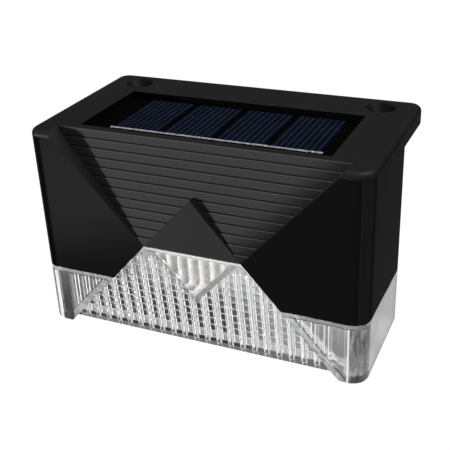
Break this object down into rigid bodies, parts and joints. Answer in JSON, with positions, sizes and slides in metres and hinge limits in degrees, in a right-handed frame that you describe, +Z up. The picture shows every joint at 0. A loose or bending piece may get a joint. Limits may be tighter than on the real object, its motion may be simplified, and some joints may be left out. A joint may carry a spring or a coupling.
{
  "type": "solar wall light",
  "caption": "L-shaped solar light that screws over the edge of a step, rail or wall: black faceted housing with a solar panel on top and a ribbed clear lens below.",
  "frame": {"origin": "midpoint between the two flange screw holes, on the flange's underside", "axes": "+X to the viewer's right, +Y back towards the wall, +Z up"},
  "size_m": [0.12, 0.0665, 0.0749],
  "materials": {
    "black_abs": "satin moulded black",
    "clear_lens": "clear moulded plastic, polished",
    "seal_rubber": "matt",
    "zinc_screw": "zinc plated",
    "panel_laminate": "black laminate",
    "silicon_cell": "blue-black polycrystalline silicon",
    "tinned_ribbon": "tinned copper, bright",
    "clear_resin": "clear potting resin",
    "adhesive_tape": "foam tape",
    "grey_reflector": "satin grey moulded tray",
    "white_board": "white solder mask",
    "lamp_chip": "white package with yellow phosphor",
    "green_board": "green solder mask",
    "black_chip": "moulded epoxy",
    "copper_coil": "enamelled copper on ferrite",
    "capacitor_can": "drawn can",
    "battery_sleeve": "plain shrink sleeve",
    "nickel_tab": "nickel strip",
    "lead_sleeve": "soft insulation",
    "button_rubber": "matt",
    "switch_plastic": "moulded"
  },
  "bodies": {
    "body": {"housing": "black_abs", "lens": "clear_lens", "back_cover": "black_abs", "cover_seal": "seal_rubber", "cover_screws": "zinc_screw", "panel_board": "panel_laminate", "panel_tape": "adhesive_tape", "cell_ribbon": "tinned_ribbon", "panel_resin": "clear_resin", "switch_body": "switch_plastic", "driver_board": "green_board", "driver_screws": "zinc_screw", "control_chip": "black_chip", "boost_coil": "copper_coil", "capacitor": "capacitor_can", "battery": "battery_sleeve", "battery_pad": "adhesive_tape", "battery_tabs": "nickel_tab", "reflector_tray": "grey_reflector", "lamp_board": "white_board", "tray_screws": "zinc_screw", "panel_leads": "lead_sleeve", "lamp_leads": "lead_sleeve", "battery_leads": "lead_sleeve", "solar_cell_1": "silicon_cell", "solar_cell_2": "silicon_cell", "solar_cell_3": "silicon_cell", "solar_cell_4": "silicon_cell", "lamp_1": "lamp_chip", "lamp_2": "lamp_chip", "lamp_3": "lamp_chip", "lamp_4": "lamp_chip"},
    "push_button": {"button": "button_rubber", "button_ring": "seal_rubber", "switch_plunger": "switch_plastic"}
  },
  "joints": [
    {"name": "button_press", "type": "slide", "parent": "body", "child": "push_button", "axis": [0, -1, 0], "range_m": [0, 0.001], "stiffness_N_per_m": 1500}
  ]
}
